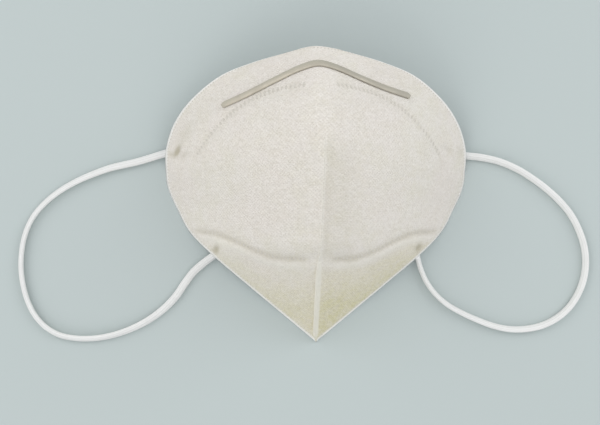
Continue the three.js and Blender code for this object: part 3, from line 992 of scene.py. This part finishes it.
def clothMaterial(name, look):
    material, tree, shader = newMaterial(name, {"Sheen Weight": 0.12, "Sheen Roughness": 0.6,
                                                "Specular IOR Level": 0.3})
    place, cloth = placeAndUv(tree, "cloth")
    # distance to the rim, painted shade over the chin, painted highlight on crest, fin and lip, and
    # painted shade in hollows and grooves
    toRim, chin, raised, sunk = (addNode(tree, "ShaderNodeAttribute", output="Fac", attribute_name=mark)
                                 for mark in ("toRim", "chin", "raised", "sunk"))
    thin = useGroup(tree, unevenWeb, cloth, look["thinScale"])
    rosy = useGroup(tree, unevenWeb, place, look["rosyScale"])
    patch = useGroup(tree, unevenWeb, place, look["patchScale"])
    grain = useGroup(tree, unevenWeb, cloth, look["grainScale"], Detail=6.0, Roughness=0.85)
    bonds = useGroup(tree, bondPoints, cloth, look["bondScale"], Size=look["bondSize"])
    fibres = useGroup(tree, fibreWeb, cloth, look["fibreScale"])
    pressed = eased(tree, toRim, look["pressedFrom"], look["pressedFull"])
    patchy = mathNode(tree, "MULTIPLY_ADD", patch, look["patchTone"], 1 - look["patchTone"])
    layers = [  # where, how strongly, in which colour, and how it is laid on
        (thin, look["thinTone"], "thin", "MIX"),
        (rosy, look["rosyTone"], "rosy", "MIX"),
        # painted shade over the chin, patchy at random
        (scaled(tree, chin, patchy), 1.0, "chin", "MIX"),
        (bonds, look["bondTone"], "bond", "MULTIPLY"),
        (grain, look["grainTone"], "grain", "MULTIPLY"),
        # darker grain over the chin, painted shade of the grain's relief
        (scaled(tree, grain, chin), look["chinGrainShadeTone"], "grain", "MULTIPLY"),
        (fibres, look["fibreTone"], "pressed", "MIX"),
        # the smooth pressed band at the rim, paler on the outer cloth as a painted highlight along the
        # edge
        (pressed, look["pressedTone"], "pressed", "MIX"),
        # painted highlight on the crest, the fin and the lip
        (raised, look["raisedHighlightTone"], "raised", "MIX"),
        # painted shade in hollows and grooves
        (sunk, look["sunkShadeTone"], "sunk", "MIX"),
    ]
    colour = look["light"]
    for mask, tone, tint, blend in layers:
        colour = mixColour(tree, scaled(tree, mask, tone), colour, look[tint], blend)
    smoother = look["pressedRough"] - look["rough"]
    quilt = bump(tree, mathNode(tree, "SUBTRACT", 1.0, bonds), look["bondDepth"], 1.0)
    feed(tree, shader, {
        "Base Color": colour,
        "Roughness": mathNode(tree, "MULTIPLY_ADD", pressed, smoother, look["rough"]),
        "Normal": bump(tree, fibres, look["fibreDepth"], 0.8, onto=quilt)})
    return material


outerCloth = clothMaterial("bondedCloth", clothLook)
innerCloth = clothMaterial("softLining", liningLook)

fusedLook = {
    "light": (0.69, 0.65, 0.585, 1),
    "dark": (0.6, 0.56, 0.495, 1),
    "scale": 900.0,
    "rough": 0.45,
    "depth": 0.00004,
}


def fusedMaterial(look):
    material, tree, shader = newMaterial("fusedCloth", {"Specular IOR Level": 0.3})
    place = addNode(tree, "ShaderNodeTexCoord", output="Object")
    tone = useGroup(tree, unevenWeb, place, look["scale"])
    feed(tree, shader, {
        "Base Color": mixColour(tree, tone, look["light"], look["dark"]),
        "Roughness": mathNode(tree, "MULTIPLY_ADD", tone, 0.2, look["rough"]),
        "Normal": bump(tree, tone, look["depth"], 0.6)})
    return material


fusedCloth = fusedMaterial(fusedLook)

clipLook = {
    "light": (0.6, 0.55, 0.445, 1),
    "dark": (0.45, 0.415, 0.345, 1),
    "metallic": 0.30,
    "streaks": (1.2, 90, 1),
    "streakTone": 0.5,
    "handledScale": 140.0,
    "handledTone": 0.3,
    # painted shade darkens the clip's right arm between these places
    "rightArmShadeFrom": 3.0,  # centimetres along the strip
    "rightArmShadeFull": 6.5,
    "rightArmShadeTone": 0.5,
    "rough": 0.42,
    "depth": 0.00003,
}


def clipMaterial(look):
    material, tree, shader = newMaterial("clipMetal", {"Metallic": look["metallic"],
                                                       "Anisotropic": 0.3})
    place, along = placeAndUv(tree, "along")
    drawn = mapped(tree, along, Scale=look["streaks"])
    lines = addNode(tree, "ShaderNodeTexNoise", {"Vector": drawn, "Scale": 3.0, "Detail": 3.0})
    handled = useGroup(tree, unevenWeb, place, look["handledScale"])
    run = addNode(tree, "ShaderNodeSeparateXYZ", {"Vector": along}, output="X")
    # painted shade on the clip's right arm
    rightArmShade = eased(tree, run, look["rightArmShadeFrom"], look["rightArmShadeFull"], look["rightArmShadeTone"])
    streaks = eased(tree, lines, 0.35, 0.65, look["streakTone"], kind="LINEAR")
    # brushed streaks with the painted shade of the right arm
    dull = mathNode(tree, "ADD", streaks, rightArmShade)
    shade = mathNode(tree, "MULTIPLY_ADD", handled, look["handledTone"], dull)
    feed(tree, shader, {
        "Base Color": mixColour(tree, shade, look["light"], look["dark"]),
        "Roughness": mathNode(tree, "MULTIPLY_ADD", handled, 0.16, look["rough"]),
        "Normal": bump(tree, lines, look["depth"], 0.6)})
    return material


clipMetal = clipMaterial(clipLook)

elasticLook = {
    "yarn": (0.87, 0.87, 0.85, 1),
    # valley: colour of the painted shade in the valleys between the knit's wales
    "valley": (0.7, 0.695, 0.67, 1),
    "valleyShadeFrom": 0.3,
    "valleyShadeTone": 0.8,
    "wornScale": 180.0,
    "wornTone": 0.2,
    "fuzzScale": 3200.0,
    "fuzzDepth": 0.00003,
}


def elasticMaterial(look):
    material, tree, shader = newMaterial("knitElastic", {"Roughness": 0.85, "Sheen Weight": 0.15,
                                                         "Specular IOR Level": 0.35})
    place, along = placeAndUv(tree, "along")
    turns = addNode(tree, "ShaderNodeSeparateXYZ", {"Vector": along}, output="Y")
    part = mathNode(tree, "FRACT", scaled(tree, turns, float(loopStyle["wales"])))
    leg = mathNode(tree, "ABSOLUTE", mathNode(tree, "SUBTRACT", part, 0.5))
    worn = scaled(tree, useGroup(tree, unevenWeb, place, look["wornScale"]), look["wornTone"])
    # painted shade in the valleys between the wales, together with random worn patches
    depth = mathNode(tree, "MAXIMUM", eased(tree, leg, look["valleyShadeFrom"], 0.5), worn)
    depth = scaled(tree, depth, look["valleyShadeTone"])
    fuzz = useGroup(tree, fibreWeb, place, look["fuzzScale"])
    feed(tree, shader, {
        "Base Color": mixColour(tree, depth, look["yarn"], look["valley"]),
        "Normal": bump(tree, fuzz, look["fuzzDepth"], 0.7)})
    return material


knitElastic = elasticMaterial(elasticLook)

# new faces keep their slot numbers, so the lining comes second
cupPiece.data.materials.append(outerCloth)
cupPiece.data.materials.append(innerCloth)
clip.data.materials.append(clipMetal)
for piece in (leftLoop, rightLoop, *weldPads):
    piece.data.materials.append(knitElastic)
print("finishes ready")


def weldLines(lineY, reach, lift, steps=120):
    # one line on either side, the lift above the outer face
    lines = []
    for side in (-1, 1):
        x = side * np.linspace(*reach, steps)
        section, share = spotOnCup(x, lineY(x))
        lines.append(cupBase(section, share) + cupNormal(section, share) * lift)
    return lines


rimRow = {
    "inset": 0.0023, "tipGap": 0.25, "noseGap": 0.35, "steps": 300, "search": (1, 0.7, 60),
    "noseSection": 0.30, "noseShare": 0.72, "noseSteps": 55,
}


def rimLine(row):
    # one line from the chin tip up the left rim, over the nose edge and down the right rim
    up = np.linspace(lastSection - row["tipGap"], row["noseGap"], row["steps"])
    shares = np.linspace(*row["search"])
    rims = []
    for side, sections in ((-1, up), (1, up[::-1])):
        grid = cupBase(*np.meshgrid(sections, side * shares, indexing="ij"))
        run = lengthsAlong(grid, 1)
        rims.append([[np.interp(row["inset"], run[i], grid[i, :, c]) for c in range(3)]
                     for i in range(len(sections))])
    across = np.linspace(-row["noseShare"], row["noseShare"], row["noseSteps"])
    nose = cupBase(np.full(len(across), row["noseSection"]), across)
    return np.vstack([rims[0], nose, rims[1]])


markRows = [  # name, line in plan, reach to both sides, lift, kind, seed
    ("noseWeldMarks", noseWeldY, (0.007, 0.0405), 0, "noseWeld", 4),
    ("noseWeldEndMarks", noseWeldY, (0.042, 0.0525), 0, "noseWeldEnd", 9),
    ("noseWeldMarksInside", noseWeldY, (0.007, 0.0525), -cup["wall"], "noseWeld", 5),
    ("chinWeldMarks", foldLineY, (0.007, 0.049), 0, "chinWeld", 6),
    ("chinWeldMarksInside", foldLineY, (0.007, 0.049), -cup["wall"], "chinWeld", 7),
]

for name, lineY, reach, lift, kind, seed in markRows:
    addMarks(name, weldLines(lineY, reach, lift), kind, seed)
addMarks("rimWeldMarks", [rimLine(rimRow)], "rimWeld", 8)


# floor and light

studio = {
    "floorSize": 12.0,
    "floorColour": (0.505, 0.563, 0.553, 1),
    "skyColour": (0.95, 0.97, 1.0, 1),
    "skyStrength": 0.73,
    "lamps": [  # name, place, size, power, colour
        ("keyLamp", (-1.75, 1.25, 1.75), 1.8, 18.8, (1.0, 0.99, 0.97)),
        ("fillLamp", (2.10, 1.15, 1.55), 1.8, 22.5, (0.98, 0.99, 1.0)),
        ("lowLamp", (-1.10, -2.00, 1.45), 1.8, 12.5, (1.0, 0.99, 0.97)),
    ],
}


def addStudio(setup):
    half = setup["floorSize"] / 2
    corners = [(-half, -half, 0), (half, -half, 0), (half, half, 0), (-half, half, 0)]
    floor = addObject("tableTop", newMesh("tableTop", corners, [(0, 1, 2, 3)]))
    paint = newMaterial("paleTable", {"Base Color": setup["floorColour"], "Roughness": 0.8})[0]
    floor.data.materials.append(paint)
    world = bpy.data.worlds.new("softRoom")
    world.use_nodes = True
    sky = world.node_tree.nodes["Background"].inputs
    sky["Color"].default_value = setup["skyColour"]
    sky["Strength"].default_value = setup["skyStrength"]
    scene.world = world
    for name, place, size, power, colour in setup["lamps"]:
        data = bpy.data.lights.new(name, "AREA")
        data.size = size
        data.energy = power
        data.color = colour
        lamp = addObject(name, data)
        lamp.location = place
        lamp.rotation_euler = (-Vector(place)).to_track_quat("-Z", "Y").to_euler()


addStudio(studio)
scene.view_settings.view_transform = "Standard"
print("studio ready")
